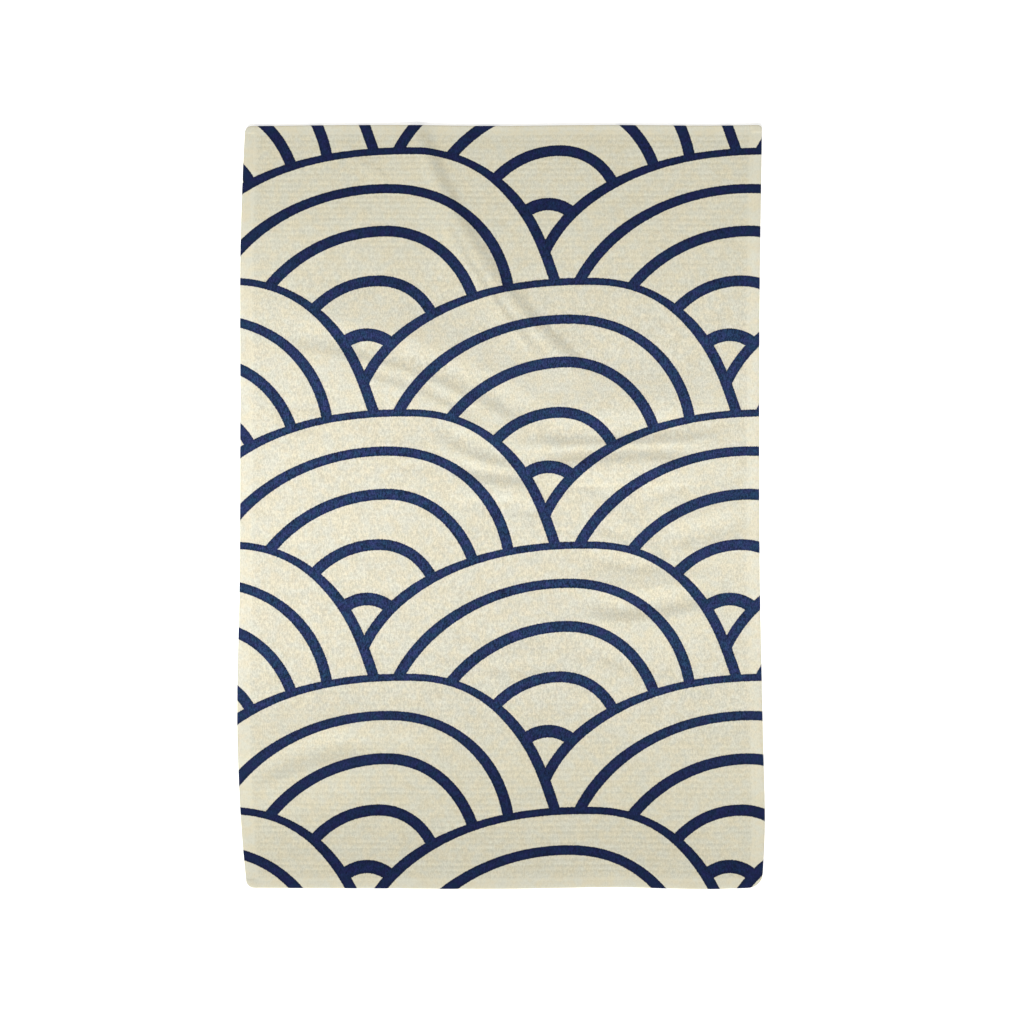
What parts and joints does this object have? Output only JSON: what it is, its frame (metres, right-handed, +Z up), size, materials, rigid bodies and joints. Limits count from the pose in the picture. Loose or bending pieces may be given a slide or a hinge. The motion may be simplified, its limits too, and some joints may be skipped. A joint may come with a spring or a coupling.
{
  "type": "tea towel",
  "caption": "Rectangular hemmed tea towel lying flat with soft creases, cream ribbed cloth with a navy line print of overlapping wave scallops.",
  "frame": {"origin": "on the surface the towel lies on, under the middle of its outline", "axes": "+X across the towel to the right of the print, +Y along it to the top of the print, +Z up out of the printed face"},
  "size_m": [0.4833, 0.7, 0.005],
  "materials": {
    "printed_cloth": "matte ribbed weave, printed in navy line on cream"
  },
  "bodies": {
    "root": {"towel": "printed_cloth"}
  },
  "joints": []
}
